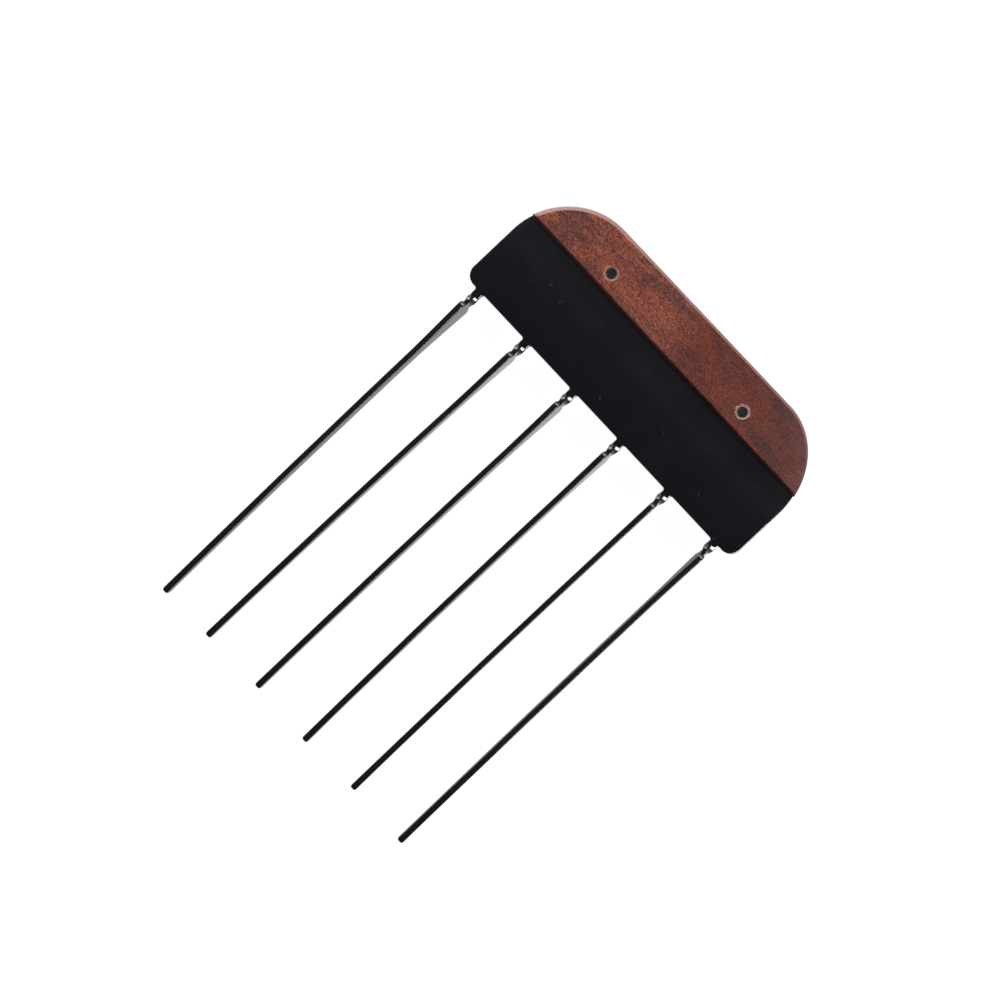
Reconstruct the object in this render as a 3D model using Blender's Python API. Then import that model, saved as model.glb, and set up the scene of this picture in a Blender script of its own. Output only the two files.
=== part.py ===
"""Wide-tooth metal comb with a wooden grip.

The comb lies flat with its front up: X runs along the row of teeth, the teeth point to -Y, and the back
scale rests at Z = 0. The origin is below the middle of the comb. All lengths are in metres.
"""

import math

import bmesh
import bpy
from mathutils import Matrix, Vector

MM = 0.001
TINY = 0.001 * MM               # two points closer than this are the same

# Row of teeth
TOOTH_COUNT = 6
TOOTH_PITCH = 17.7 * MM
TOOTH_LENGTH = 111.7 * MM
END_MARGIN = 5.75 * MM          # from the outer teeth to the ends of the plate

# Plate, cut from one sheet with the teeth
SHEET = 1.5 * MM
PLATE_HEIGHT = 22.8 * MM        # bare steel between the wood and the teeth
EDGE_ROUND = 0.35 * MM          # the tumbled edge of the sheet
LARGEST_ROUND = 0.45            # of the sheet's thickness, so that a flat is left between the two rounds
TOP_CORNER_RUN = 19.1 * MM      # the two upper corners are quarter ellipses
TOP_CORNER_DROP = 21.0 * MM
LOWER_CORNER_RADIUS = 3.3 * MM

# Neck of a tooth, narrow enough to be twisted
NECK_WIDTH = 2.5 * MM
NECK_LENGTH = 4.6 * MM
NECK_FILLET = 0.6 * MM
TWIST_RUN = 3.8 * MM            # stretch of the neck that takes the twist, up to the shoulder
TWIST_ANGLE = math.radians(90.0)

# Blade of a tooth, measured in the plane of the sheet
SHOULDER_LENGTH = 1.7 * MM
SHOULDER_DEPTH = 7.0 * MM
FLARE_LENGTH = 17.0 * MM
FLARE_POWER = 1.3
TINE_DEPTH = 3.5 * MM           # depth that the straight tine would have at the shoulder
TIP_DEPTH = 2.0 * MM
TIP_ROUND = 0.9 * MM            # stretch over which the tip is also rounded in its thickness
TIP_NOSE = 0.6 * MM             # thickness left at the very end
TIP_BEAD = 0.2 * MM             # the coating gathers towards the tip and makes it thicker by this much
TIP_BEAD_RUN = 16.0 * MM        # stretch over which it does so

# Wooden scales, one on each side of the plate
SCALE_HEIGHT = 14.6 * MM
SCALE_THICKNESS = 3.5 * MM
SCALE_CHAMFER = 1.3 * MM
SEAT_GAP = 0.3 * MM             # between the steel and the wood

# Pins through the scales and the plate
PIN_DIAMETER = 3.0 * MM
PIN_INSET = 25.85 * MM          # from the ends of the plate
PIN_SHIFT = 0.4 * MM            # both pins sit this much off the middle, to the right
PIN_RISE = 4.35 * MM            # above the lower edge of the wood
PIN_RIM_CHAMFER = 0.15 * MM
PIN_GAP = 0.3 * MM              # around the pin
HOLE_MOUTH = 0.15 * MM          # the softened rim of each hole

# Fineness of the curves
CORNER_STEPS = 12
LOWER_CORNER_STEPS = 6
FILLET_STEPS = 4
TWIST_STEPS = 12
SHOULDER_STEPS = 6
FLARE_STEPS = 9
TIP_STEPS = 6
EDGE_STEPS = 2
ROUND_SIDES = 40
SOFT_ANGLE = math.radians(50.0)     # on the steel blade, edges up to this angle are shaded round
CRISP_ANGLE = math.radians(40.0)    # on the wood and the pins, where a 45 degree chamfer stays crisp

# Derived sizes
PLATE_LENGTH = (TOOTH_COUNT - 1) * TOOTH_PITCH + 2 * END_MARGIN
HANDLE_HEIGHT = PLATE_HEIGHT + SCALE_HEIGHT
SHEET_BASE = SCALE_THICKNESS + SEAT_GAP
FRONT_SCALE_BASE = SHEET_BASE + SHEET + SEAT_GAP
TOTAL_THICKNESS = FRONT_SCALE_BASE + SCALE_THICKNESS
LOWER_EDGE_Y = (TOOTH_LENGTH - HANDLE_HEIGHT) / 2
TWIST_START = NECK_LENGTH - TWIST_RUN
LEFT_PIN_X = PIN_SHIFT + PIN_INSET - PLATE_LENGTH / 2
RIGHT_PIN_X = PIN_SHIFT - PIN_INSET + PLATE_LENGTH / 2
PIN_Y = LOWER_EDGE_Y + PLATE_HEIGHT + PIN_RISE


def clear_scene():
    """Remove every object of the opened file."""
    for obj in list(bpy.data.objects):
        bpy.data.objects.remove(obj, do_unlink=True)


def make_material(name, colour, roughness, metallic):
    """A plain surface: colour is linear RGB."""
    material = bpy.data.materials.new(name)
    material.use_nodes = True
    shader = material.node_tree.nodes["Principled BSDF"]
    shader.inputs["Base Color"].default_value = (*colour, 1.0)
    shader.inputs["Roughness"].default_value = roughness
    shader.inputs["Metallic"].default_value = metallic
    return material


def add_object(name, bm, material, location, smooth_angle):
    """Turn a bmesh into a named object with smooth round faces."""
    bmesh.ops.recalc_face_normals(bm, faces=bm.faces)
    mesh = bpy.data.meshes.new(name)
    bm.to_mesh(mesh)
    bm.free()
    mesh.shade_smooth()
    mesh.set_sharp_from_angle(angle=smooth_angle)
    mesh.materials.append(material)
    obj = bpy.data.objects.new(name, mesh)
    obj.location = location
    bpy.context.scene.collection.objects.link(obj)
    return obj


def keep_flats_flat(obj):
    """Shade rounded edges smooth without bending the light on the flat faces beside them."""
    weighted = obj.modifiers.new("flat faces", "WEIGHTED_NORMAL")
    weighted.keep_sharp = True


def arc(centre, radii, start, end, steps):
    """Points of an elliptic arc in the XY plane, both ends included; angles in degrees."""
    points = []
    for i in range(steps + 1):
        angle = math.radians(start + (end - start) * i / steps)
        points.append((centre[0] + radii[0] * math.cos(angle), centre[1] + radii[1] * math.sin(angle)))
    return points


def upper_outline():
    """Right side, top and left side of the handle, from the ends of the lower corners, anticlockwise.

    Y counts up from the lower edge of the plate.
    """
    half = PLATE_LENGTH / 2
    corner_y = HANDLE_HEIGHT - TOP_CORNER_DROP
    radii = (TOP_CORNER_RUN, TOP_CORNER_DROP)
    right = arc((half - TOP_CORNER_RUN, corner_y), radii, 0, 90, CORNER_STEPS)
    left = arc((TOP_CORNER_RUN - half, corner_y), radii, 90, 180, CORNER_STEPS)
    return right + left


def half_width_at(distance):
    """Half the width of a tooth beyond its shoulder, at a distance from the plate's lower edge."""
    shoulder_end = NECK_LENGTH + SHOULDER_LENGTH
    along = (distance - shoulder_end) / (TOOTH_LENGTH - shoulder_end)
    tine = TINE_DEPTH + (TIP_DEPTH - TINE_DEPTH) * along
    left_of_flare = max(0.0, 1.0 - (distance - shoulder_end) / FLARE_LENGTH)
    flare = (SHOULDER_DEPTH - TINE_DEPTH) * left_of_flare ** FLARE_POWER
    return (tine + flare) / 2


def blade_profile():
    """(half width, distance) along one edge of a tooth, from the end of the neck to the start of its tip."""
    points = []
    neck = NECK_WIDTH / 2
    rise = SHOULDER_DEPTH / 2 - neck
    for i in range(SHOULDER_STEPS):
        angle = math.pi / 2 * i / SHOULDER_STEPS
        points.append((neck + rise * math.sin(angle), NECK_LENGTH + SHOULDER_LENGTH * (1 - math.cos(angle))))
    flare_start = NECK_LENGTH + SHOULDER_LENGTH
    for i in range(FLARE_STEPS + 1):
        distance = flare_start + FLARE_LENGTH * i / FLARE_STEPS
        points.append((half_width_at(distance), distance))
    return points


def tip_profile():
    """(half width, distance) along one edge of a tooth's round tip, up to but without its middle."""
    radius = TIP_DEPTH / 2
    start = TOOTH_LENGTH - radius
    points = []
    for i in range(TIP_STEPS):
        angle = math.pi / 2 * i / TIP_STEPS
        points.append((half_width_at(start) * math.cos(angle), start + radius * math.sin(angle)))
    return points


def tooth_centres():
    """X of each tooth."""
    first = -(TOOTH_COUNT - 1) * TOOTH_PITCH / 2
    return [first + i * TOOTH_PITCH for i in range(TOOTH_COUNT)]


def neck_stations():
    """Distances from the lower edge of the plate at which the neck is divided for its twist."""
    return [TWIST_START + TWIST_RUN * i / TWIST_STEPS for i in range(TWIST_STEPS + 1)]


def add_plate_face(bm, station_edges):
    """The plate down to the twist of each neck, as one face; station_edges gives each neck's two corners."""
    half = PLATE_LENGTH / 2
    radius = LOWER_CORNER_RADIUS
    neck = NECK_WIDTH / 2
    ring = []

    def extend(points):
        ring.extend(bm.verts.new((x, y, 0.0)) for x, y in points)

    extend(arc((radius - half, radius), (radius, radius), 180, 270, LOWER_CORNER_STEPS))
    for centre, (left, right) in zip(tooth_centres(), station_edges):
        fillet = (NECK_FILLET, NECK_FILLET)
        extend(arc((centre - neck - NECK_FILLET, -NECK_FILLET), fillet, 90, 0, FILLET_STEPS))
        ring.extend((left, right))
        extend(arc((centre + neck + NECK_FILLET, -NECK_FILLET), fillet, 180, 90, FILLET_STEPS))
    extend(arc((half - radius, radius), (radius, radius), 270, 360, LOWER_CORNER_STEPS))
    extend(upper_outline())
    bm.faces.new(ring)


def add_sides(bm, centre, profile):
    """Points down the left and the right edge of a tooth."""
    left = [bm.verts.new((centre - width, -distance, 0.0)) for width, distance in profile]
    right = [bm.verts.new((centre + width, -distance, 0.0)) for width, distance in profile]
    return left, right


def add_tooth_faces(bm, centre):
    """Neck and blade of one tooth, still flat; returns the two corners where the neck joins the plate."""
    neck = NECK_WIDTH / 2
    rows = []
    for distance in neck_stations():
        left = bm.verts.new((centre - neck, -distance, 0.0))
        right = bm.verts.new((centre + neck, -distance, 0.0))
        rows.append((left, right))
    for upper, lower in zip(rows, rows[1:]):
        bm.faces.new((upper[0], lower[0], lower[1], upper[1]))
    blade = add_sides(bm, centre, blade_profile()[1:])
    tip = add_sides(bm, centre, tip_profile())
    end = bm.verts.new((centre, -TOOTH_LENGTH, 0.0))
    bead_start = TOOTH_LENGTH - TIP_BEAD_RUN
    bead = add_sides(bm, centre, [(half_width_at(bead_start), bead_start)])
    left, right = blade
    bm.faces.new([rows[-1][0], *left, bead[0][0], bead[1][0], *reversed(right), rows[-1][1]])
    bm.faces.new([bead[0][0], tip[0][0], tip[1][0], bead[1][0]])
    bm.faces.new([*tip[0], end, *reversed(tip[1])])
    return rows[0]


def thicken(bm, thickness):
    """Raise a flat outline into a slab."""
    flat = list(bm.faces)
    raised = bmesh.ops.extrude_face_region(bm, geom=flat)
    verts = [item for item in raised["geom"] if isinstance(item, bmesh.types.BMVert)]
    bmesh.ops.translate(bm, verts=verts, vec=(0.0, 0.0, thickness))
    bmesh.ops.recalc_face_normals(bm, faces=bm.faces)


def rim_edges(bm, level=None):
    """Edges between a flat side of a slab and its wall, on both sides or only at one level."""
    edges = []
    for edge in bm.edges:
        upright = [abs(face.normal.z) < 0.5 for face in edge.link_faces]
        if len(upright) != 2 or upright[0] == upright[1]:
            continue
        if level is None or all(abs(vert.co.z - level) < TINY for vert in edge.verts):
            edges.append(edge)
    return edges


def thickness_share(distance):
    """Thickness over that of the sheet at a distance from the plate: more on the bead, less on the round tip."""
    along_bead = min(1.0, max(0.0, 1.0 - (TOOTH_LENGTH - distance) / TIP_BEAD_RUN))
    full = 1.0 + TIP_BEAD / SHEET * along_bead
    t = min(1.0, max(0.0, 1.0 - (TOOTH_LENGTH - distance) / TIP_ROUND))
    nose = TIP_NOSE / SHEET
    return nose + (full - nose) * math.sqrt(1.0 - t * t)


def shape_tips(bm):
    """Thicken each tooth towards its tip and round the very end, about a point in the middle of its sides."""
    start = TOOTH_LENGTH - TIP_DEPTH / 2
    sides = [face for face in bm.faces if abs(face.normal.z) > 0.9 and -face.calc_center_median().y > start]
    bmesh.ops.poke(bm, faces=sides)
    middle = SHEET / 2
    for vert in bm.verts:
        vert.co.z = middle + (vert.co.z - middle) * thickness_share(-vert.co.y)


def twist_fraction(distance):
    """Share of the twist reached at a distance from the plate, easing in and out."""
    t = min(1.0, max(0.0, (distance - TWIST_START) / TWIST_RUN))
    return t * t * (3 - 2 * t)


def twist_teeth(bm):
    """Turn each tooth about its own axis, so that the front of the sheet comes to face +X."""
    centres = tooth_centres()
    middle = SHEET / 2
    for vert in bm.verts:
        distance = -vert.co.y
        if distance <= TWIST_START:
            continue
        centre = min(centres, key=lambda x: abs(x - vert.co.x))
        turn = Matrix.Rotation(TWIST_ANGLE * twist_fraction(distance), 3, "Y")
        offset = turn @ Vector((vert.co.x - centre, 0.0, vert.co.z - middle))
        vert.co.x = centre + offset.x
        vert.co.z = middle + offset.z


def make_blade(material):
    """Cut the blank from the sheet, round its edges, then twist the teeth."""
    bm = bmesh.new()
    station_edges = [add_tooth_faces(bm, centre) for centre in tooth_centres()]
    add_plate_face(bm, station_edges)
    thicken(bm, SHEET)
    radius = min(EDGE_ROUND, LARGEST_ROUND * SHEET)
    bmesh.ops.bevel(bm, geom=rim_edges(bm), offset=radius, offset_type="OFFSET", segments=EDGE_STEPS,
                    profile=0.5, affect="EDGES")
    shape_tips(bm)
    twist_teeth(bm)
    return add_object("blade", bm, material, (0.0, LOWER_EDGE_Y, SHEET_BASE), SOFT_ANGLE)


def scale_outline():
    """Outline of a wooden scale: the handle's outline above the wood's straight lower edge."""
    upper = [(x, y) for x, y in upper_outline() if y > PLATE_HEIGHT]
    drop = (PLATE_HEIGHT - (HANDLE_HEIGHT - TOP_CORNER_DROP)) / TOP_CORNER_DROP
    reach = TOP_CORNER_RUN * (1 - math.sqrt(1 - max(0.0, drop) ** 2))
    half = PLATE_LENGTH / 2 - reach
    return [(-half, PLATE_HEIGHT), (half, PLATE_HEIGHT), *upper]


def make_scale(name, material, location, rotation):
    """A wooden scale with its outer edge chamfered round the outline, square along its lower edge."""
    bm = bmesh.new()
    bm.faces.new([bm.verts.new((x, y, 0.0)) for x, y in scale_outline()])
    thicken(bm, SCALE_THICKNESS)
    rim = [edge for edge in rim_edges(bm, SCALE_THICKNESS)
           if max(vert.co.y for vert in edge.verts) > PLATE_HEIGHT + TINY]
    bmesh.ops.bevel(bm, geom=rim, offset=SCALE_CHAMFER, offset_type="OFFSET", segments=1, affect="EDGES")
    scale = add_object(name, bm, material, location, CRISP_ANGLE)
    scale.rotation_euler = rotation
    return scale


def make_turned(name, profile, material, x):
    """A turned piece that stands at a pin's place; profile lists (radius, height) from bottom to top."""
    bm = bmesh.new()
    rings = []
    for radius, height in profile:
        ring = []
        for i in range(ROUND_SIDES):
            angle = 2 * math.pi * i / ROUND_SIDES
            ring.append(bm.verts.new((radius * math.cos(angle), radius * math.sin(angle), height)))
        rings.append(ring)
    for lower, upper in zip(rings, rings[1:]):
        for i in range(ROUND_SIDES):
            j = (i + 1) % ROUND_SIDES
            bm.faces.new((lower[i], lower[j], upper[j], upper[i]))
    bm.faces.new(list(reversed(rings[0])))
    bm.faces.new(rings[-1])
    return add_object(name, bm, material, (x, PIN_Y, 0.0), CRISP_ANGLE)


def make_pin(name, material, x):
    """A plain pin, flush with both scales, with a small chamfer on each rim."""
    radius = PIN_DIAMETER / 2
    rim = PIN_RIM_CHAMFER
    profile = [(radius - rim, 0.0), (radius, rim), (radius, TOTAL_THICKNESS - rim),
               (radius - rim, TOTAL_THICKNESS)]
    return make_turned(name, profile, material, x)


def make_hole_cutter(name, material, x):
    """The space round a pin: a bore through scales and plate that opens a little at both faces."""
    bore = PIN_DIAMETER / 2 + PIN_GAP
    mouth = bore + HOLE_MOUTH
    outside = 1.0 * MM
    profile = [(mouth + outside, -outside), (bore, HOLE_MOUTH), (bore, TOTAL_THICKNESS - HOLE_MOUTH),
               (mouth + outside, TOTAL_THICKNESS + outside)]
    cutter = make_turned(name, profile, material, x)
    cutter.hide_render = True
    cutter.display_type = "WIRE"
    return cutter


def cut_holes(obj, cutters):
    """Cut every bore out of one piece."""
    for cutter in cutters:
        cut = obj.modifiers.new("cut " + cutter.name, "BOOLEAN")
        cut.operation = "DIFFERENCE"
        cut.solver = "EXACT"
        cut.object = cutter


def build():
    clear_scene()
    steel = make_material("black coated steel", (0.010, 0.010, 0.013), 0.30, 0.60)
    front_wood = make_material("wood front", (0.180, 0.060, 0.045), 0.55, 0.0)
    back_wood = make_material("wood back", (0.180, 0.060, 0.045), 0.55, 0.0)
    pin_steel = make_material("dark pin steel", (0.022, 0.021, 0.024), 0.40, 0.80)

    blade = make_blade(steel)
    front = make_scale("scale_front", front_wood, (0.0, LOWER_EDGE_Y, FRONT_SCALE_BASE), (0.0, 0.0, 0.0))
    back = make_scale("scale_back", back_wood, (0.0, LOWER_EDGE_Y, SCALE_THICKNESS), (0.0, math.pi, 0.0))
    pins = [make_pin("pin_left", pin_steel, LEFT_PIN_X), make_pin("pin_right", pin_steel, RIGHT_PIN_X)]

    cutters = [make_hole_cutter("bore left", pin_steel, LEFT_PIN_X),
               make_hole_cutter("bore right", pin_steel, RIGHT_PIN_X)]
    for piece in (blade, front, back):
        cut_holes(piece, cutters)
    for piece in (blade, front, back, *pins):
        keep_flats_flat(piece)


build()
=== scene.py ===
"""Looks of the metal comb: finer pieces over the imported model, their surfaces, the studio and the camera.

All lengths are in metres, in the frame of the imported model: X runs along the row of teeth,
the teeth point to -Y, and the front of the comb faces +Z.
"""

import math

import bmesh
import bpy
from mathutils import Matrix, Vector


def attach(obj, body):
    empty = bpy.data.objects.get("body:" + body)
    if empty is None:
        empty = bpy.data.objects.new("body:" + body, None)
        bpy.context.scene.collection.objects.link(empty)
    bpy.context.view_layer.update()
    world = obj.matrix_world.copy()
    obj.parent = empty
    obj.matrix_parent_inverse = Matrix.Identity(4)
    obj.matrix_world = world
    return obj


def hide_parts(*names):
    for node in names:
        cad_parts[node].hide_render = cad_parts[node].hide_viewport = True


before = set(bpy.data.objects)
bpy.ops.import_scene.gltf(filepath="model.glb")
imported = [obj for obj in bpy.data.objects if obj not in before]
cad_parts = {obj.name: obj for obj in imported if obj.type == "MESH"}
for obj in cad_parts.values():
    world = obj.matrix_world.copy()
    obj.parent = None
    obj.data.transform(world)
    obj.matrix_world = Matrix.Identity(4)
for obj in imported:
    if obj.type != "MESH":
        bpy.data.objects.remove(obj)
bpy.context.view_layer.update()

MM = 0.001
CM = 0.01
DM = 0.1

# The steel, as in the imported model
TOOTH_COUNT = 6
TOOTH_PITCH = 17.7 * MM
TOOTH_LENGTH = 111.7 * MM
PLATE_LENGTH = 100.0 * MM
PLATE_HEIGHT = 22.8 * MM        # bare steel between the wood and the teeth
SHEET = 1.5 * MM
LOWER_CORNER_RADIUS = 3.3 * MM
NECK_WIDTH = 2.5 * MM
NECK_LENGTH = 4.6 * MM
NECK_FILLET = 0.6 * MM
TWIST_RUN = 3.8 * MM
SHOULDER_LENGTH = 1.7 * MM
SHOULDER_DEPTH = 7.0 * MM
FLARE_LENGTH = 17.0 * MM
FLARE_POWER = 1.3
TINE_DEPTH = 3.5 * MM           # depth that the straight tine would have at the shoulder
TIP_DEPTH = 2.0 * MM
TIP_ROUND = 0.9 * MM            # stretch over which the tip is also rounded in its thickness
TIP_NOSE = 0.6 * MM             # thickness left at the very end
TIP_BEAD_RUN = 16.0 * MM        # stretch over which the coat gathers towards the tip

# The steel, where this comb differs from the model
EDGE_ROUND = 0.25 * MM
PLATE_CORNERS = ((20.1 * MM, 20.0 * MM), (18.1 * MM, 20.7 * MM))    # run and drop, left and right
LOWER_SLOPE = 0.45 * MM         # the plate's lower edge falls by this much from left to right
TOOTH_COAT = 0.12 * MM          # what the coat adds to a tooth's thickness
TIP_BEAD = 0.08 * MM            # and what its bead adds to that at the tip
TIP_BEAD_POWER = 1.5

# The wood and the pins
SCALE_HEIGHT = 14.6 * MM
SCALE_THICKNESS = 3.8 * MM      # down to the steel, glue line and all
SCALE_CHAMFER = 1.3 * MM
CHAMFER_SPREAD = 0.24           # the share by which it is wider at the left end and narrower at the right
CHAMFER_BLEND = 0.60 * MM       # softened inner and outer edge of the chamfer
LOWER_ROUND = 0.35 * MM         # rounding of the wood's lower edge
WOOD_CORNERS = ((20.1 * MM, 21.8 * MM), (18.1 * MM, 20.7 * MM))
WOOD_SLOPE = 0.85 * MM          # the wood's lower edge falls by this much from left to right
PIN_RADIUS = 1.5 * MM
PIN_SPREAD = 24.15 * MM         # from their middle, which is a little off that of the comb
PIN_MIDDLE = 0.4 * MM
PIN_RISE = 4.35 * MM            # above the wood's lower edge
PIN_RIM = 0.12 * MM             # chamfer of a pin's end
PIN_SLOPE = 0.144 * MM          # from the chamfer down into the hollow
PIN_DISH = 0.06 * MM            # depth of the hollow
PIN_CENTRE = 0.075 * MM         # radius of the small flat in its middle
HOLE_CLEARANCE = 0.03 * MM
HOLE_MOUTH = 0.30 * MM          # width of the countersink round a pin
HOLE_DEPTH = 0.25 * MM
CUTTER_REACH = 1.0 * MM         # the cutter of the holes stands out by this much at both faces

# Places that follow from these sizes
TWIST_START = NECK_LENGTH - TWIST_RUN
HANDLE_HEIGHT = PLATE_HEIGHT + SCALE_HEIGHT
LOWER_EDGE_Y = (TOOTH_LENGTH - HANDLE_HEIGHT) / 2       # of the plate
SHEET_BASE = SCALE_THICKNESS
FRONT_SEAT = SHEET_BASE + SHEET
TOTAL_THICKNESS = FRONT_SEAT + SCALE_THICKNESS
LEFT_PIN_X = PIN_MIDDLE - PIN_SPREAD
RIGHT_PIN_X = PIN_MIDDLE + PIN_SPREAD
PIN_Y = LOWER_EDGE_Y + PLATE_HEIGHT + PIN_RISE

# The teeth are twisted by hand: shift along X at the root, half way and at the tip (mm), turn beyond
# the quarter (degrees), and extra length (mm)
TEETH = (
    (0.02, -0.08, 0.52, -2.2, 0.05),
    (0.02, -1.06, -1.36, 0.3, -0.15),
    (-0.08, -0.79, -0.80, -3.8, -0.40),
    (-0.12, -0.64, -0.18, -5.0, 0.28),
    (-0.11, -0.62, -0.40, -2.8, -0.30),
    (-0.21, -0.31, 0.00, 2.9, 0.25),
)

# Fineness
TINE_STATIONS = (0.35, 0.60)    # cuts across the straight part of a tooth, as shares of its length
CORNER_STEPS = 36
LOWER_CORNER_STEPS = 12
FILLET_STEPS = 6
TWIST_STEPS = 28
SHOULDER_STEPS = 10
FLARE_STEPS = 14
TIP_STEPS = 8
BEAD_STEPS = 8
EDGE_STEPS = 4
BLEND_STEPS = 4
LOWER_ROUND_STEPS = 6
ROUND_SIDES = 72
BLADE_SOFT = 40                 # degrees up to which an edge is shaded round
SCALE_SOFT = 35
PIN_SOFT = 50


# Shapes

def make_object(name, bm):
    """Turn a bmesh into an object; its faces look outwards."""
    if bm.calc_volume(signed=True) < 0.0:
        bmesh.ops.reverse_faces(bm, faces=bm.faces)
    mesh = bpy.data.meshes.new(name)
    bm.to_mesh(mesh)
    bm.free()
    obj = bpy.data.objects.new(name, mesh)
    bpy.context.scene.collection.objects.link(obj)
    return obj


def shade(obj, smooth_angle):
    """Shade round faces smooth and leave flat ones flat."""
    obj.data.shade_smooth()
    obj.data.set_sharp_from_angle(angle=math.radians(smooth_angle))
    weighted = obj.modifiers.new("flat faces", "WEIGHTED_NORMAL")
    weighted.keep_sharp = True
    return obj


def arc(centre, radii, start, end, steps):
    """Points of an elliptic arc in the XY plane, both ends included; angles in degrees."""
    points = []
    for i in range(steps + 1):
        angle = math.radians(start + (end - start) * i / steps)
        points.append((centre[0] + radii[0] * math.cos(angle), centre[1] + radii[1] * math.sin(angle)))
    return points


def upper_outline(corners):
    """Right side, top and left side of the handle, anticlockwise.

    Y starts at the plate's lower edge.
    """
    half = PLATE_LENGTH / 2
    (left_run, left_drop), (right_run, right_drop) = corners
    right_centre = (half - right_run, HANDLE_HEIGHT - right_drop)
    left_centre = (left_run - half, HANDLE_HEIGHT - left_drop)
    right = arc(right_centre, (right_run, right_drop), 0, 90, CORNER_STEPS)
    left = arc(left_centre, (left_run, left_drop), 90, 180, CORNER_STEPS)
    return right + left


def half_length_at(y, corner):
    """Distance from the middle to the end of the handle at a height above the plate's lower edge."""
    run, drop = corner
    above = max(0.0, (y - (HANDLE_HEIGHT - drop)) / drop)
    return PLATE_LENGTH / 2 - run * (1 - math.sqrt(1 - above ** 2))


def half_width_at(distance):
    """Half the depth of a tooth, in the plane of the sheet, at a distance below the plate."""
    shoulder_end = NECK_LENGTH + SHOULDER_LENGTH
    along = (distance - shoulder_end) / (TOOTH_LENGTH - shoulder_end)
    tine = TINE_DEPTH + (TIP_DEPTH - TINE_DEPTH) * along
    left_of_flare = max(0.0, 1.0 - (distance - shoulder_end) / FLARE_LENGTH)
    flare = (SHOULDER_DEPTH - TINE_DEPTH) * left_of_flare ** FLARE_POWER
    return (tine + flare) / 2


def blade_profile():
    """Half widths and distances of a tooth's shoulder and flare."""
    points = []
    neck = NECK_WIDTH / 2
    rise = SHOULDER_DEPTH / 2 - neck
    for i in range(1, SHOULDER_STEPS):
        angle = math.pi / 2 * i / SHOULDER_STEPS
        distance = NECK_LENGTH + SHOULDER_LENGTH * (1 - math.cos(angle))
        points.append((neck + rise * math.sin(angle), distance))
    flare_start = NECK_LENGTH + SHOULDER_LENGTH
    for i in range(FLARE_STEPS + 1):
        distance = flare_start + FLARE_LENGTH * i / FLARE_STEPS
        points.append((half_width_at(distance), distance))
    return points


def tip_profile():
    """The same of its round tip, without the very end."""
    radius = TIP_DEPTH / 2
    start = TOOTH_LENGTH - radius
    points = []
    for i in range(TIP_STEPS):
        angle = math.pi / 2 * i / TIP_STEPS
        points.append((half_width_at(start) * math.cos(angle), start + radius * math.sin(angle)))
    return points


def tooth_centres():
    """Where the teeth leave the plate, along X."""
    first = -(TOOTH_COUNT - 1) * TOOTH_PITCH / 2
    return [first + i * TOOTH_PITCH + TEETH[i][0] * MM for i in range(TOOTH_COUNT)]


def add_plate_face(bm, neck_tops):
    """The flat plate with its tang, joined to the tops of the necks."""
    half = PLATE_LENGTH / 2
    radius = LOWER_CORNER_RADIUS
    neck = NECK_WIDTH / 2
    fillet = (NECK_FILLET, NECK_FILLET)
    ring = []

    def extend(points):
        ring.extend(bm.verts.new((x, y, 0.0)) for x, y in points)

    extend(arc((radius - half, radius), (radius, radius), 180, 270, LOWER_CORNER_STEPS))
    for centre, (left, right) in zip(tooth_centres(), neck_tops):
        extend(arc((centre - neck - NECK_FILLET, -NECK_FILLET), fillet, 90, 0, FILLET_STEPS))
        ring.extend((left, right))
        extend(arc((centre + neck + NECK_FILLET, -NECK_FILLET), fillet, 180, 90, FILLET_STEPS))
    extend(arc((half - radius, radius), (radius, radius), 270, 360, LOWER_CORNER_STEPS))
    extend(upper_outline(PLATE_CORNERS))
    bm.faces.new(ring)


def add_sides(bm, centre, profile):
    """Points on both sides of a tooth; profile lists (half width, distance)."""
    left = [bm.verts.new((centre - width, -distance, 0.0)) for width, distance in profile]
    right = [bm.verts.new((centre + width, -distance, 0.0)) for width, distance in profile]
    return left, right


def add_tooth_faces(bm, centre):
    """One flat tooth; gives back the two points at the top of its neck."""
    neck = NECK_WIDTH / 2
    stations = [(neck, TWIST_START + TWIST_RUN * i / TWIST_STEPS) for i in range(TWIST_STEPS + 1)]
    left, right = add_sides(bm, centre, stations)
    for i in range(TWIST_STEPS):
        bm.faces.new((left[i], left[i + 1], right[i + 1], right[i]))
    blade_left, blade_right = add_sides(bm, centre, blade_profile())
    tip_left, tip_right = add_sides(bm, centre, tip_profile())
    end = bm.verts.new((centre, -TOOTH_LENGTH, 0.0))
    along = [TOOTH_LENGTH * share for share in TINE_STATIONS]
    along += [TOOTH_LENGTH - TIP_BEAD_RUN * (1 - i / BEAD_STEPS) for i in range(BEAD_STEPS)]
    tine = [(half_width_at(distance), distance) for distance in along]
    tine_left, tine_right = add_sides(bm, centre, tine)
    bm.faces.new([left[-1], *blade_left, tine_left[0], tine_right[0], *reversed(blade_right), right[-1]])
    for i in range(len(along) - 1):
        bm.faces.new((tine_left[i], tine_left[i + 1], tine_right[i + 1], tine_right[i]))
    bm.faces.new((tine_left[-1], tip_left[0], tip_right[0], tine_right[-1]))
    bm.faces.new([*tip_left, end, *reversed(tip_right)])
    return left[0], right[0]


def thicken(bm, thickness):
    """Give the flat blank its thickness."""
    raised = bmesh.ops.extrude_face_region(bm, geom=list(bm.faces))
    verts = [item for item in raised["geom"] if isinstance(item, bmesh.types.BMVert)]
    bmesh.ops.translate(bm, verts=verts, vec=(0.0, 0.0, thickness))
    bmesh.ops.recalc_face_normals(bm, faces=bm.faces)


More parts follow.
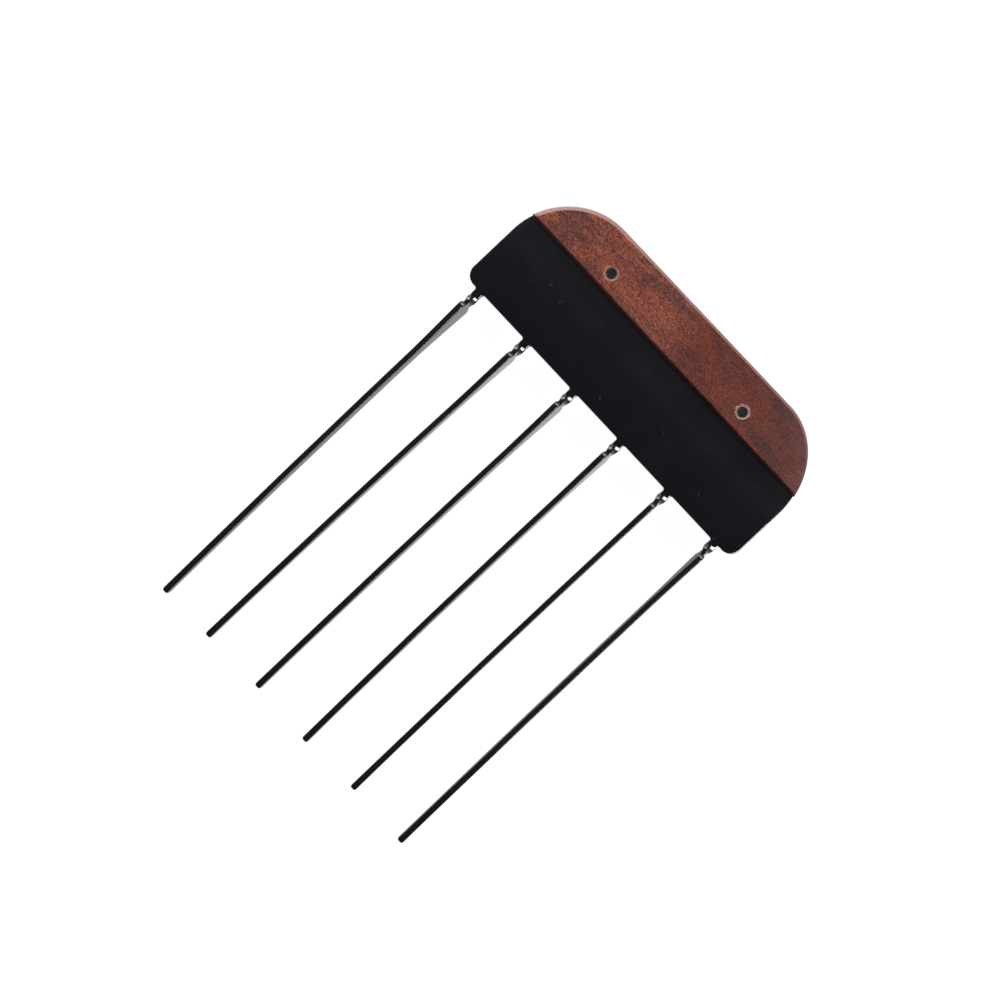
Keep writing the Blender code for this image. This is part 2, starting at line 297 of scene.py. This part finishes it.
def thickness_share(distance):
    """Thickness of a tooth over that of the sheet, with coat, bead and round end."""
    near = min(1.0, max(0.0, 1.0 - (TOOTH_LENGTH - distance) / TIP_BEAD_RUN))
    full = 1.0 + (TOOTH_COAT * twist_fraction(distance) + TIP_BEAD * near ** TIP_BEAD_POWER) / SHEET
    t = min(1.0, max(0.0, 1.0 - (TOOTH_LENGTH - distance) / TIP_ROUND))
    nose = TIP_NOSE / SHEET
    return nose + (full - nose) * math.sqrt(1.0 - t * t)


def twist_fraction(distance):
    """Share of its quarter turn that a tooth has made at a distance below the plate."""
    t = min(1.0, max(0.0, (distance - TWIST_START) / TWIST_RUN))
    return t * t * (3 - 2 * t)


def shape_teeth(bm):
    """Round the tips, twist the teeth, and bend each a little as the hand left it."""
    start = TOOTH_LENGTH - TIP_DEPTH / 2
    level = [face for face in bm.faces if abs(face.normal.z) > 0.9]
    tips = [face for face in level if -face.calc_center_median().y > start]
    bmesh.ops.poke(bm, faces=tips)
    middle = SHEET / 2
    centres = tooth_centres()
    for vert in bm.verts:
        distance = -vert.co.y
        if distance <= 0.0:
            continue
        vert.co.z = middle + (vert.co.z - middle) * thickness_share(distance)
        index = min(range(TOOTH_COUNT), key=lambda i: abs(centres[i] - vert.co.x))
        centre = centres[index]
        root, half_way, tip, over, longer = TEETH[index]
        turn = Matrix.Rotation(math.radians(90 + over) * twist_fraction(distance), 3, "Y")
        offset = turn @ Vector((vert.co.x - centre, 0.0, vert.co.z - middle))
        t = distance / TOOTH_LENGTH
        bend = 4 * t * (1 - t) * (half_way - root) + t * (2 * t - 1) * (tip - root)
        vert.co.x = centre + offset.x + bend * MM
        vert.co.y -= t * longer * MM
        vert.co.z = middle + offset.z


def tilt_lower_edge(bm):
    """Let the plate's lower edge fall a little to the right, without the teeth."""
    for vert in bm.verts:
        off_teeth = min(1.0, (vert.co.y + TWIST_START) / TWIST_START)
        off_wood = 1.0 - vert.co.y / PLATE_HEIGHT
        if off_teeth > 0.0 and off_wood > 0.0:
            vert.co.y -= LOWER_SLOPE * vert.co.x / PLATE_LENGTH * off_teeth * off_wood


def make_blade():
    """The plate with its tang and teeth, cut flat, thickened, rounded along the rim and then twisted."""
    bm = bmesh.new()
    neck_tops = [add_tooth_faces(bm, centre) for centre in tooth_centres()]
    add_plate_face(bm, neck_tops)
    thicken(bm, SHEET)
    rim = []
    for edge in bm.edges:
        upright = [abs(face.normal.z) < 0.5 for face in edge.link_faces]
        if upright[0] != upright[1]:
            rim.append(edge)
    bmesh.ops.bevel(bm, geom=rim, offset=EDGE_ROUND, offset_type="OFFSET", segments=EDGE_STEPS,
                    profile=0.5, affect="EDGES")
    tilt_lower_edge(bm)
    shape_teeth(bm)
    bmesh.ops.translate(bm, verts=bm.verts, vec=(0.0, LOWER_EDGE_Y, SHEET_BASE))
    return shade(make_object("coated_blade", bm), BLADE_SOFT)


def turned(name, profile, x, y):
    """A turned solid at (x, y); profile lists (radius, height) from bottom to top."""
    bm = bmesh.new()
    rings = []
    for radius, height in profile:
        ring = []
        for i in range(ROUND_SIDES):
            angle = 2 * math.pi * i / ROUND_SIDES
            corner = (x + radius * math.cos(angle), y + radius * math.sin(angle), height)
            ring.append(bm.verts.new(corner))
        rings.append(ring)
    for lower, upper in zip(rings, rings[1:]):
        for i in range(ROUND_SIDES):
            j = (i + 1) % ROUND_SIDES
            bm.faces.new((lower[i], lower[j], upper[j], upper[i]))
    bm.faces.new(list(reversed(rings[0])))
    bm.faces.new(rings[-1])
    return make_object(name, bm)


def inset(points, depths):
    """Move each side of a convex outline inwards by its own depth; side i starts at point i."""
    lines = []
    for i, start in enumerate(points):
        end = points[(i + 1) % len(points)]
        run, rise = end[0] - start[0], end[1] - start[1]
        length = math.hypot(run, rise)
        inward = (-rise / length, run / length)
        lines.append((start[0] + inward[0] * depths[i], start[1] + inward[1] * depths[i], run, rise))
    moved = []
    for i, (x, y, run, rise) in enumerate(lines):
        before_x, before_y, before_run, before_rise = lines[i - 1]
        cross = before_run * rise - before_rise * run
        along = ((x - before_x) * rise - (y - before_y) * run) / cross
        moved.append((before_x + before_run * along, before_y + before_rise * along))
    return moved


def chamfer_depth(height):
    """How far the wood's curved side has drawn in at a height; both edges of the chamfer are soft."""
    below_top = SCALE_THICKNESS - height
    slope = SCALE_CHAMFER - below_top
    soft = CHAMFER_BLEND
    if slope <= -soft:
        return 0.0
    if slope < soft:
        return (slope + soft) ** 2 / (4 * soft)
    return slope


def lower_depth(height):
    """The same at the lower edge, which is rounded over."""
    above = max(0.0, height - (SCALE_THICKNESS - LOWER_ROUND))
    return LOWER_ROUND - math.sqrt(LOWER_ROUND ** 2 - min(above, LOWER_ROUND) ** 2)


def scale_outline():
    """The scale's lower edge, which comes first, and its curved side.

    Y starts at the plate's lower edge.
    """
    left_y = PLATE_HEIGHT + WOOD_SLOPE / 2
    right_y = PLATE_HEIGHT - WOOD_SLOPE / 2
    # The first sides stay longer than what both roundings take off them
    clear = SCALE_CHAMFER * (1 + CHAMFER_SPREAD) + LOWER_ROUND
    upper = []
    for x, y in upper_outline(WOOD_CORNERS):
        if y > (left_y if x < 0 else right_y) + clear:
            upper.append((x, y))
    left_corner, right_corner = WOOD_CORNERS
    left = (-half_length_at(left_y, left_corner), left_y)
    right = (half_length_at(right_y, right_corner), right_y)
    return [left, right, *upper]


def scale_levels():
    """Heights of the scale's rings, each with how far its curved side has drawn in there."""
    chamfer_foot = SCALE_THICKNESS - SCALE_CHAMFER
    levels = [(0.0, 0.0)]
    for i in range(BLEND_STEPS + 1):
        height = chamfer_foot + CHAMFER_BLEND * (2 * i / BLEND_STEPS - 1)
        levels.append((height, chamfer_depth(height)))
    crest = SCALE_THICKNESS - LOWER_ROUND
    for i in range(LOWER_ROUND_STEPS + 1):
        height = crest + LOWER_ROUND * math.sin(math.pi / 2 * i / LOWER_ROUND_STEPS)
        levels.append((height, chamfer_depth(height)))
    return levels


def drill(scale):
    """Cut the pin holes, each with a countersink at both faces of the comb."""
    bore = PIN_RADIUS + HOLE_CLEARANCE
    wide = bore + HOLE_MOUTH * (1 + CUTTER_REACH / HOLE_DEPTH)
    profile = [(wide, -CUTTER_REACH), (bore, HOLE_DEPTH)]
    profile += [(radius, TOTAL_THICKNESS - height) for radius, height in reversed(profile)]
    for x in (LEFT_PIN_X, RIGHT_PIN_X):
        cutter = turned("cutter", profile, x, PIN_Y)
        cut = scale.modifiers.new("hole", "BOOLEAN")
        cut.solver = "EXACT"
        cut.object = cutter
        bpy.context.view_layer.update()
        drilled = scale.evaluated_get(bpy.context.evaluated_depsgraph_get())
        shaped = bpy.data.meshes.new_from_object(drilled)
        scale.modifiers.remove(cut)
        scale.data = shaped
        bpy.data.objects.remove(cutter)


def make_scale(name, faces_front):
    """A wooden scale with pin holes that open into a countersink."""
    outline = scale_outline()
    shares = [1 - CHAMFER_SPREAD * x / (PLATE_LENGTH / 2) for x, y in outline[1:]]
    bm = bmesh.new()
    rings = []
    for height, depth in scale_levels():
        depths = [lower_depth(height)] + [depth * share for share in shares]
        rings.append([bm.verts.new((x, y, height)) for x, y in inset(outline, depths)])
    for below, above in zip(rings, rings[1:]):
        for i in range(len(outline)):
            j = (i + 1) % len(outline)
            bm.faces.new((below[i], below[j], above[j], above[i]))
    bm.faces.new(list(reversed(rings[0])))
    bm.faces.new(rings[-1])
    bmesh.ops.translate(bm, verts=bm.verts, vec=(0.0, LOWER_EDGE_Y, FRONT_SEAT))
    if not faces_front:
        for vert in bm.verts:
            vert.co.z = TOTAL_THICKNESS - vert.co.z
        bmesh.ops.reverse_faces(bm, faces=bm.faces)
    scale = make_object(name, bm)
    drill(scale)
    return shade(scale, SCALE_SOFT)


def make_pin(name, x):
    """A pin with chamfered and slightly hollow ends."""
    flat = PIN_RADIUS - PIN_RIM
    hollow = [(PIN_CENTRE, PIN_DISH), (flat - PIN_SLOPE, 0.8 * PIN_DISH)]
    profile = [*hollow, (flat, 0.0), (PIN_RADIUS, PIN_RIM)]
    profile += [(radius, TOTAL_THICKNESS - height) for radius, height in reversed(profile)]
    return shade(turned(name, profile, x, PIN_Y), PIN_SOFT)


# Surfaces

WOOD_NOISES = {
    # name: stretch along each axis, scale, detail, roughness, distortion
    "streaks": ((0.16, 1.0, 1.0), 760.0, 5.0, 0.62, 0.6),
    "patches": ((0.45, 1.0, 1.0), 130.0, 4.0, 0.6, 0.3),
    "shadows": ((0.30, 1.0, 0.8), 190.0, 5.0, 0.6, 0.5),
    "grains": ((0.55, 1.0, 1.0), 3000.0, 3.0, 0.75, 0.0),
    "pores": ((0.6, 1.0, 1.0), 2300.0, 2.0, 0.6, 0.0),
}
# Bare wood of the chamfer with a painted highlight; the painted light comes from the left and falls off to
# the right
CHAMFER_BARE_AND_LIT = (
    # share of the comb's length from its left end, and colour
    (0.05, (0.37, 0.238, 0.212)),
    (0.30, (0.31, 0.165, 0.140)),
    (0.65, (0.26, 0.122, 0.104)),
    (0.85, (0.25, 0.137, 0.126)),
    (0.95, (0.118, 0.068, 0.064)),
)
# Painted light and shade on the black coat, standing in for the room that the coat reflects
COAT_PAINTED_LIGHT = (
    # Y in the frame (dm), and colour
    (0.00, (0.0080, 0.0080, 0.0118)),
    (0.30, (0.0120, 0.0118, 0.0145)),
    (0.37, (0.0044, 0.0041, 0.0074)),
    (0.50, (0.0074, 0.0072, 0.0118)),
    (0.60, (0.0200, 0.0200, 0.0262)),
)
PIN_TONES = ((0.35, (0.002, 0.003, 0.004)), (0.52, (0.006, 0.006, 0.007)), (0.68, (0.026, 0.015, 0.014)))


def add(tree, kind, inputs=None, **settings):
    """Add a shader node; inputs are values or other nodes' sockets."""
    item = tree.nodes.new(kind)
    for name, value in settings.items():
        setattr(item, name, value)
    for key, value in (inputs or {}).items():
        if isinstance(value, bpy.types.NodeSocket):
            tree.links.new(value, item.inputs[key])
        else:
            item.inputs[key].default_value = value
    return item


def new_material(name):
    """An empty material and its node tree."""
    material = bpy.data.materials.new(name)
    material.use_nodes = True
    material.node_tree.nodes.clear()
    return material, material.node_tree


def output(tree, shader):
    add(tree, "ShaderNodeOutputMaterial", {"Surface": shader})


def position(tree):
    """Place in the object's own space, which is that of the frame."""
    return add(tree, "ShaderNodeTexCoord").outputs["Object"]


def stretched(tree, scale):
    """The same place, scaled per axis."""
    return add(tree, "ShaderNodeMapping", {"Vector": position(tree), "Scale": scale}).outputs["Vector"]


def facing(tree):
    """The three parts of the direction that the surface faces."""
    normal = add(tree, "ShaderNodeNewGeometry").outputs["Normal"]
    return add(tree, "ShaderNodeSeparateXYZ", {"Vector": normal}).outputs


def noise(tree, vector, scale, detail, roughness=0.55, distortion=0.0):
    """Cloudy greys around 0.5."""
    item = add(tree, "ShaderNodeTexNoise", {
        "Vector": vector, "Scale": scale, "Detail": detail,
        "Roughness": roughness, "Distortion": distortion})
    return item.outputs["Fac"]


def ramp(tree, value, stops):
    """Colours or greys at places between 0 and 1."""
    item = add(tree, "ShaderNodeValToRGB", {"Fac": value})
    elements = item.color_ramp.elements
    while len(elements) < len(stops):
        elements.new(0.5)
    for element, (stop, tone) in zip(elements, stops):
        colour = tone if isinstance(tone, tuple) else (tone, tone, tone)
        element.position = stop
        element.color = (*colour, 1.0)
    return item.outputs["Color"]


def blend(tree, kind, factor, first, second):
    """Mix two colours; each of the last three is a value or another node's socket."""
    item = add(tree, "ShaderNodeMix", data_type="RGBA", blend_type=kind, clamp_factor=True)
    for socket, value in ((item.inputs[0], factor), (item.inputs[6], first), (item.inputs[7], second)):
        if isinstance(value, bpy.types.NodeSocket):
            tree.links.new(value, socket)
        elif isinstance(value, tuple):
            socket.default_value = (*value, 1.0)
        else:
            socket.default_value = value
    return item.outputs[2]


def times(tree, *colours):
    """The product of colours or greys."""
    product = colours[0]
    for colour in colours[1:]:
        product = blend(tree, "MULTIPLY", 1.0, product, colour)
    return product


def sums(tree, operation, first, second=0.0, third=None):
    """One step of arithmetic."""
    inputs = {0: first, 1: second}
    if third is not None:
        inputs[2] = third
    return add(tree, "ShaderNodeMath", inputs, operation=operation).outputs[0]


def vectors(tree, operation, first, second=(0.0, 0.0, 0.0)):
    """The same with vectors; gives back all the outputs."""
    return add(tree, "ShaderNodeVectorMath", {0: first, 1: second}, operation=operation).outputs


def placed(tree, name, start, unit):
    """One coordinate of the place, counted from a start in a unit of length."""
    value = add(tree, "ShaderNodeSeparateXYZ", {"Vector": position(tree)}).outputs[name]
    return sums(tree, "MULTIPLY_ADD", value, 1 / unit, -start / unit)


def distance_to(tree, point, centre):
    """Distance of a point to the upright line through a centre."""
    offset = vectors(tree, "SUBTRACT", point, centre)[0]
    flat = vectors(tree, "MULTIPLY", offset, (1.0, 1.0, 0.0))[0]
    return vectors(tree, "LENGTH", flat)["Value"]


def bump(tree, height, strength, distance):
    item = add(tree, "ShaderNodeBump", {"Height": height, "Strength": strength, "Distance": distance})
    return item.outputs["Normal"]


def coat_colour(tree, clouds):
    """Blue-black with painted light and shade along Y: darkest at the plate's lower edge, palest below the
    wood, a little paler on the teeth towards the necks; with a few scuffs.
    """
    colour = ramp(tree, clouds, [(0.3, (0.85, 0.85, 0.87)), (0.7, (1.15, 1.15, 1.13))])
    colour = times(tree, colour, ramp(tree, placed(tree, "Y", 0.0, DM), COAT_PAINTED_LIGHT))
    scuffs = noise(tree, stretched(tree, (1.0, 0.5, 1.0)), 420.0, 6.0, 0.7, 1.5)
    scuffs = ramp(tree, scuffs, [(0.66, 0.0), (0.69, 0.30)])
    return blend(tree, "MIX", scuffs, colour, (0.16, 0.155, 0.16))


def coat_roughness(tree, clouds):
    """Smooth and a little cloudy; the last tooth is duller on the side that faces the others."""
    inner = ramp(tree, sums(tree, "MULTIPLY", facing(tree)["X"], -1.0), [(0.4, 0.0), (0.8, 0.40)])
    last = ramp(tree, placed(tree, "X", 0.0, DM), [(0.40, 0.0), (0.42, 1.0)])
    return sums(tree, "MULTIPLY_ADD", inner, last, ramp(tree, clouds, [(0.3, 0.09), (0.7, 0.13)]))


def coat_gloss(tree, below_plate):
    """The rounded front edges of the teeth are dull."""
    rounded = ramp(tree, facing(tree)["Z"], [(0.72, 0.0), (0.84, 1.0), (0.985, 1.0), (0.998, 0.0)])
    on_teeth = ramp(tree, below_plate, [(0.60, 0.0), (0.72, 1.0)])
    return sums(tree, "MULTIPLY_ADD", sums(tree, "MULTIPLY", rounded, on_teeth), -0.36, 0.5)


def coat_relief(tree, below_plate):
    """A fine grain, and scars where the necks were gripped and twisted."""
    fine = noise(tree, stretched(tree, (1.0, 1.0, 1.0)), 2600.0, 3.0)
    scars = noise(tree, stretched(tree, (0.5, 1.0, 0.7)), 1500.0, 3.0, 0.6, 0.6)
    on_necks = ramp(tree, below_plate, [(0.10, 0.0), (0.22, 1.0), (0.62, 1.0), (0.80, 0.0)])
    scars = sums(tree, "MULTIPLY", on_necks, scars)
    return sums(tree, "MULTIPLY_ADD", scars, 6.0, sums(tree, "MULTIPLY", fine, 0.1))


def steel_material():
    """Black coat on steel."""
    material, tree = new_material("coated steel")
    clouds = noise(tree, stretched(tree, (1.0, 1.0, 1.0)), 90.0, 3.0)
    below_plate = placed(tree, "Y", LOWER_EDGE_Y, -CM)
    shader = add(tree, "ShaderNodeBsdfPrincipled", {
        "Base Color": coat_colour(tree, clouds), "Roughness": coat_roughness(tree, clouds), "IOR": 1.5,
        "Specular IOR Level": coat_gloss(tree, below_plate),
        "Normal": bump(tree, coat_relief(tree, below_plate), 0.12, 0.03 * MM)})
    output(tree, shader.outputs[0])
    return material


def left_wood(tree, figure):
    """Brown streaks with orange-red and dark patches."""
    colour = ramp(tree, figure["streaks"], [
        (0.32, (0.096, 0.031, 0.026)), (0.50, (0.152, 0.043, 0.030)), (0.68, (0.215, 0.070, 0.047))])
    warm = ramp(tree, figure["patches"], [(0.45, 0.0), (0.62, 0.75)])
    colour = blend(tree, "MIX", warm, colour, (0.208, 0.049, 0.022))
    dark = ramp(tree, figure["shadows"], [(0.38, 0.72), (0.50, 0.0)])
    return blend(tree, "MIX", dark, colour, (0.076, 0.026, 0.023))


def right_wood(tree, figure, upwards):
    """Calmer and redder, a little paler towards the lower edge."""
    colour = ramp(tree, upwards, [(0.61, (0.116, 0.0190, 0.0108)), (0.68, (0.088, 0.0160, 0.0128))])
    warm = ramp(tree, figure["patches"], [(0.46, 0.0), (0.60, 0.55)])
    colour = blend(tree, "MIX", warm, colour, (0.165, 0.0275, 0.0120))
    dark = ramp(tree, figure["shadows"], [(0.40, 0.60), (0.50, 0.0)])
    return blend(tree, "MIX", dark, colour, (0.050, 0.017, 0.018))


def wood_face(tree, figure, along, upwards):
    """The left half runs over into the right one, which is darker and has weaker grains."""
    right = ramp(tree, along, [(0.44, 0.0), (0.56, 0.62)])
    colour = blend(tree, "MIX", right, left_wood(tree, figure), right_wood(tree, figure, upwards))
    strong = ramp(tree, figure["grains"], [(0.34, 0.30), (0.5, 0.98), (0.66, 2.1)])
    mild = ramp(tree, figure["grains"], [(0.32, 0.42), (0.5, 1.0), (0.68, 1.8)])
    light = ramp(tree, along, [(0.44, 1.28), (0.56, 0.96)])
    return times(tree, colour, blend(tree, "MIX", right, strong, mild), light)


def near_right_rim(tree):
    """0 at the middle and 1 at the rim of the wood's right upper corner."""
    run, drop = WOOD_CORNERS[1]
    centre = (PLATE_LENGTH / 2 - run, LOWER_EDGE_Y + HANDLE_HEIGHT - drop, 0.0)
    offset = vectors(tree, "SUBTRACT", position(tree), centre)[0]
    share = vectors(tree, "MULTIPLY", offset, (1 / run, 1 / drop, 0.0))[0]
    outwards = vectors(tree, "MAXIMUM", share)[0]
    return vectors(tree, "LENGTH", outwards)["Value"]


def dust_and_painted_sheen(tree, colour, figure, along):
    """The right upper corner is dull and greyish along its rim, partly dusty wear and partly a painted
    sheen.
    """
    rim = ramp(tree, near_right_rim(tree), [(0.72, 0.0), (0.98, 0.42)])
    streaks = ramp(tree, figure["streaks"], [(0.38, 0.45), (0.60, 1.0)])
    end = ramp(tree, along, [(0.76, 0.0), (0.90, 1.0)])
    return blend(tree, "MIX", times(tree, rim, streaks, end), colour, (0.175, 0.102, 0.104))


def chamfered(tree, colour, figure, along, upwards, off_middle):
    """The chamfer was cut last and is pale bare wood with a painted highlight; painted light from the left
    makes it palest at the left end, and it fades at its edges.
    """
    tilted = sums(tree, "MULTIPLY_ADD", figure["grains"], 0.10, sums(tree, "ABSOLUTE", facing(tree)["Z"]))
    chamfer = ramp(tree, tilted, [(0.10, 0.0), (0.50, 1.0), (0.84, 1.0), (1.02, 0.0)])
    outer = ramp(tree, off_middle, [(0.72, 0.95), (0.89, 0.58)])
    above = ramp(tree, upwards, [(0.601, 0.35), (0.612, 1.0)])
    chamfer = sums(tree, "MULTIPLY", chamfer, sums(tree, "MULTIPLY", outer, above))
    grains = ramp(tree, figure["grains"], [(0.3, 0.75), (0.7, 1.25)])
    pale = times(tree, ramp(tree, along, CHAMFER_BARE_AND_LIT), grains)
    return blend(tree, "MIX", chamfer, colour, pale)


def painted_wall_shade(tree, colour, off_middle):
    """Painted shade on the wall along the lower edge, darkest where it meets the steel."""
    wall = ramp(tree, sums(tree, "MULTIPLY", facing(tree)["Y"], -1.0), [(0.35, 0.0), (0.98, 1.0)])
    darker = ramp(tree, off_middle, [(0.30, 0.28), (0.88, 0.72)])
    return blend(tree, "MIX", wall, colour, times(tree, colour, darker))


def ringed(tree, colour, along):
    """Bare wood round both pins, less bare at the left one, with a chipped outer edge."""
    from_middle = vectors(tree, "SUBTRACT", position(tree), (PIN_MIDDLE, 0.0, 0.0))[0]
    folded = vectors(tree, "ABSOLUTE", from_middle)[0]
    distance = distance_to(tree, folded, (PIN_SPREAD, PIN_Y, 0.0))
    uneven = noise(tree, stretched(tree, (1.0, 1.0, 1.0)), 1100.0, 4.0)
    radius = sums(tree, "MULTIPLY_ADD", uneven, -1.3, sums(tree, "MULTIPLY_ADD", distance, 1 / MM, -0.5))
    ring = ramp(tree, radius, [(0.70, 1.0), (0.88, 0.0)])
    bare = times(tree, ring, ramp(tree, along, [(0.44, 0.60), (0.56, 1.0)]))
    return blend(tree, "MIX", bare, colour, (0.50, 0.32, 0.27))


def wood_material(name):
    """Oiled red-brown wood with a granular figure."""
    material, tree = new_material(name)
    figure = {}
    for kind, (stretch, *values) in WOOD_NOISES.items():
        figure[kind] = noise(tree, stretched(tree, stretch), *values)
    along = placed(tree, "X", -PLATE_LENGTH / 2, PLATE_LENGTH)
    upwards = placed(tree, "Y", 0.0, DM)
    off_middle = sums(tree, "ABSOLUTE", placed(tree, "Z", TOTAL_THICKNESS / 2, 5.0 * MM))
    colour = wood_face(tree, figure, along, upwards)
    colour = dust_and_painted_sheen(tree, colour, figure, along)
    specks = ramp(tree, figure["pores"], [(0.72, 0.0), (0.76, 0.45)])
    colour = blend(tree, "MIX", specks, colour, (0.42, 0.26, 0.22))
    colour = chamfered(tree, colour, figure, along, upwards, off_middle)
    colour = painted_wall_shade(tree, colour, off_middle)
    colour = ringed(tree, colour, along)
    roughness = ramp(tree, figure["grains"], [(0.3, 0.46), (0.7, 0.60)])
    streaks = sums(tree, "MULTIPLY", figure["streaks"], 0.8)
    relief = sums(tree, "MULTIPLY_ADD", figure["grains"], 1.0, streaks)
    shader = add(tree, "ShaderNodeBsdfPrincipled", {
        "Base Color": colour, "Roughness": roughness, "IOR": 1.45, "Specular IOR Level": 0.13,
        "Normal": bump(tree, relief, 0.40, 0.14 * MM)})
    output(tree, shader.outputs[0])
    return material


def pin_material(name, x, dust):
    """Dark steel end, filed flat and stained, with pale wood dust in its rim."""
    material, tree = new_material(name)
    point = stretched(tree, (1.0, 1.0, 1.0))
    spots = noise(tree, point, 1500.0, 4.0, 0.7)
    out = sums(tree, "MULTIPLY", distance_to(tree, point, (x, PIN_Y, 0.0)), 0.5 / PIN_RADIUS)
    rim = ramp(tree, sums(tree, "MULTIPLY_ADD", spots, 0.06, out), [(0.478, 0.0), (0.503, dust)])
    shader = add(tree, "ShaderNodeBsdfPrincipled", {
        "Base Color": blend(tree, "MIX", rim, ramp(tree, spots, PIN_TONES), (0.55, 0.37, 0.31)),
        "Roughness": 0.60, "Specular IOR Level": 0.10, "Normal": bump(tree, spots, 0.4, 0.10 * MM)})
    output(tree, shader.outputs[0])
    return material


# The studio

LIGHTS = (
    # name, azimuth and elevation that it comes from (degrees), distance, width and height, radiance,
    # and whether it lights dull surfaces as well
    ("left", 180.0, 20.0, 0.7, 0.50, 0.40, 8.0, True),
    ("back", 90.0, 24.0, 1.0, 0.80, 0.60, 6.0, True),
    ("right", 0.0, 20.0, 1.0, 0.60, 0.50, 1.0, True),
    ("glint", 0.0, 50.0, 1.0, 0.40, 0.66, 32.0, False),
)
LIGHT_TARGET = Vector((0.0, 0.0, 5.0 * MM))
FLOOR_REACH = 3.0               # from the middle to each side
FLOOR_LEVEL = -0.02 * MM
FLOOR_GLOW = 0.97               # brightness that the floor shows to the camera and in reflections
CAMERA_PLACE = (22.6 * MM, 5.4 * MM, 290.3 * MM)
CAMERA_TURN = math.radians(46.65)       # the teeth point to the lower left of the picture
CAMERA_SHIFT = (-0.068, 0.066)


def add_lights():
    """Four soft lamps, each turned towards the comb."""
    for name, azimuth, elevation, distance, width, height, radiance, diffuse in LIGHTS:
        a, e = math.radians(azimuth), math.radians(elevation)
        away = Vector((math.cos(a) * math.cos(e), math.sin(a) * math.cos(e), math.sin(e)))
        data = bpy.data.lights.new(name, "AREA")
        data.shape = "RECTANGLE"
        data.size = width
        data.size_y = height
        data.energy = radiance * math.pi * width * height
        lamp = bpy.data.objects.new(name, data)
        lamp.visible_diffuse = diffuse
        lamp.location = LIGHT_TARGET + away * distance
        lamp.rotation_euler = (-away).to_track_quat("-Z", "Y").to_euler()
        bpy.context.scene.collection.objects.link(lamp)


def add_world():
    """A grey room, dark overhead and in front of the comb; the camera sees it white."""
    world = bpy.data.worlds.new("studio")
    world.use_nodes = True
    tree = world.node_tree
    tree.nodes.clear()
    direction = add(tree, "ShaderNodeTexCoord").outputs["Generated"]
    towards = add(tree, "ShaderNodeSeparateXYZ", {"Vector": direction}).outputs
    height = ramp(tree, towards["Z"], [(0.0, 0.40), (0.60, 0.40), (0.86, 0.09)])
    front = ramp(tree, sums(tree, "MULTIPLY_ADD", towards["Y"], 0.5, 0.5), [(0.20, 0.22), (0.50, 1.0)])
    seen = add(tree, "ShaderNodeLightPath").outputs["Is Camera Ray"]
    colour = sums(tree, "MAXIMUM", times(tree, height, front), seen)
    background = add(tree, "ShaderNodeBackground", {"Color": colour, "Strength": 1.0})
    add(tree, "ShaderNodeOutputWorld", {"Surface": background.outputs[0]})
    bpy.context.scene.world = world


def floor_material():
    """A dull floor that glows for the camera and in reflections, and so looks nearly white there."""
    material, tree = new_material("pale floor")
    rays = add(tree, "ShaderNodeLightPath").outputs
    seen = sums(tree, "MAXIMUM", rays["Is Camera Ray"], rays["Is Glossy Ray"])
    seen = sums(tree, "MAXIMUM", seen, rays["Is Transmission Ray"])
    lit = add(tree, "ShaderNodeBsdfDiffuse", {"Color": (0.12, 0.12, 0.12, 1.0)})
    glow = add(tree, "ShaderNodeEmission", {"Strength": sums(tree, "MULTIPLY", seen, FLOOR_GLOW)})
    both = add(tree, "ShaderNodeAddShader", {0: lit.outputs[0], 1: glow.outputs[0]})
    output(tree, both.outputs[0])
    return material


def add_floor():
    """A large floor just below the back scale's flat face."""
    bm = bmesh.new()
    sides = ((-1, -1), (1, -1), (1, 1), (-1, 1))
    bm.faces.new([bm.verts.new((x * FLOOR_REACH, y * FLOOR_REACH, FLOOR_LEVEL)) for x, y in sides])
    mesh = bpy.data.meshes.new("floor")
    bm.to_mesh(mesh)
    bm.free()
    floor = bpy.data.objects.new("floor", mesh)
    bpy.context.scene.collection.objects.link(floor)
    mesh.materials.append(floor_material())


def add_camera():
    """Looks straight down from above the comb."""
    data = bpy.data.cameras.new("camera")
    data.sensor_width = 36.0
    data.lens = 40.0
    data.shift_x, data.shift_y = CAMERA_SHIFT
    data.clip_start = 10.0 * MM
    camera = bpy.data.objects.new("camera", data)
    camera.location = CAMERA_PLACE
    camera.rotation_euler = (0.0, 0.0, CAMERA_TURN)
    bpy.context.scene.collection.objects.link(camera)
    bpy.context.scene.camera = camera


# The scene

def place(obj, material, node):
    """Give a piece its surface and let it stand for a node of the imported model."""
    obj.data.materials.clear()
    obj.data.materials.append(material)
    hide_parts(node)
    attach(obj, "root")


left_steel = pin_material("left pin steel", LEFT_PIN_X, dust=0.5)
right_steel = pin_material("right pin steel", RIGHT_PIN_X, dust=0.9)
place(make_blade(), steel_material(), "blade")
place(make_scale("front_wood", True), wood_material("front wood"), "scale_front")
place(make_scale("back_wood", False), wood_material("back wood"), "scale_back")
place(make_pin("left_pin", LEFT_PIN_X), left_steel, "pin_left")
place(make_pin("right_pin", RIGHT_PIN_X), right_steel, "pin_right")
add_lights()
add_world()
add_floor()
add_camera()
bpy.context.scene.view_settings.view_transform = "Standard"
